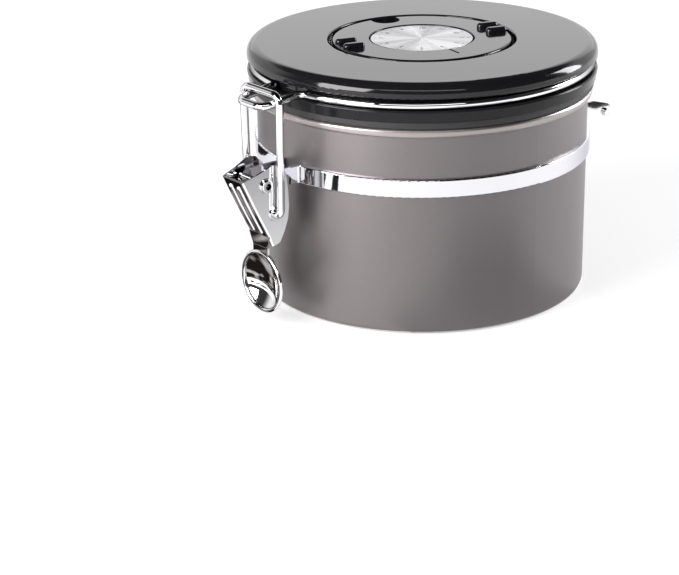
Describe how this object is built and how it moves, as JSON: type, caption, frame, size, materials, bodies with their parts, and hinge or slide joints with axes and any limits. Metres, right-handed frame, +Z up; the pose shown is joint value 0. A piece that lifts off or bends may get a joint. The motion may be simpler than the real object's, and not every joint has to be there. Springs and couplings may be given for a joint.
{
  "type": "food canister",
  "caption": "Round metal food canister with a black plastic lid, a wire toggle latch, a rear wire hinge, a dial and a one-way gas valve.",
  "frame": {"origin": "centre of the flat underside", "axes": "+Z up through the lid, -Y to the latch, +Y to the hinge"},
  "size_m": [0.1284, 0.1716, 0.0944],
  "materials": {
    "satin_body": "satin warm grey coat",
    "bright_steel": "polished steel",
    "lid_black": "glossy black",
    "dial_black": "glossy black",
    "inner_plastic": "fine matt",
    "silicone": "matt",
    "screw_steel": "bright",
    "disc_metal": "sun-brushed",
    "filter_felt": "felt"
  },
  "bodies": {
    "canister": {"canister_body": "satin_body", "clamp_band": "bright_steel", "lever_rivet": "bright_steel", "hinge_bracket": "bright_steel", "bracket_rivets": "bright_steel"},
    "lever": {"latch_lever": "bright_steel"},
    "bail": {"bail_wire": "bright_steel"},
    "lid": {"lid_ring": "bright_steel", "lid_cover": "lid_black", "lid_base": "lid_black", "lid_gasket": "silicone", "lid_screws": "screw_steel", "dial_hub": "inner_plastic", "dial_hub_screw": "screw_steel", "dial_disc": "disc_metal", "valve_seat": "inner_plastic", "valve_cage": "inner_plastic", "valve_filter": "filter_felt", "valve_cover": "inner_plastic"},
    "dial": {"dial_ring": "dial_black"},
    "valve": {"valve_diaphragm": "silicone"}
  },
  "joints": [
    {"name": "lever_pivot", "type": "hinge", "parent": "canister", "child": "lever", "pos_m": [0, -0.0777, 0.0542], "axis": [-1, 0, 0], "range_deg": [0, 130]},
    {"name": "bail_swing", "type": "hinge", "parent": "lever", "child": "bail", "pos_m": [0, -0.0739, 0.043], "axis": [1, 0, 0], "range_deg": [0, 156.5]},
    {"name": "lid_hinge", "type": "hinge", "parent": "canister", "child": "lid", "pos_m": [0, 0.0806, 0.052], "axis": [-1, 0, 0], "range_deg": [0, 100]},
    {"name": "dial_turn", "type": "hinge", "parent": "lid", "child": "dial", "pos_m": [0, 0, 0.0878], "axis": [0, 0, 1], "continuous": true},
    {"name": "valve_lift", "type": "slide", "parent": "lid", "child": "valve", "axis": [0, 0, 1], "range_m": [0, 0.0012]}
  ],
  "couplings": [
    {"joint": "bail_swing", "follows": "lever_pivot", "ratio": 1.2}
  ]
}
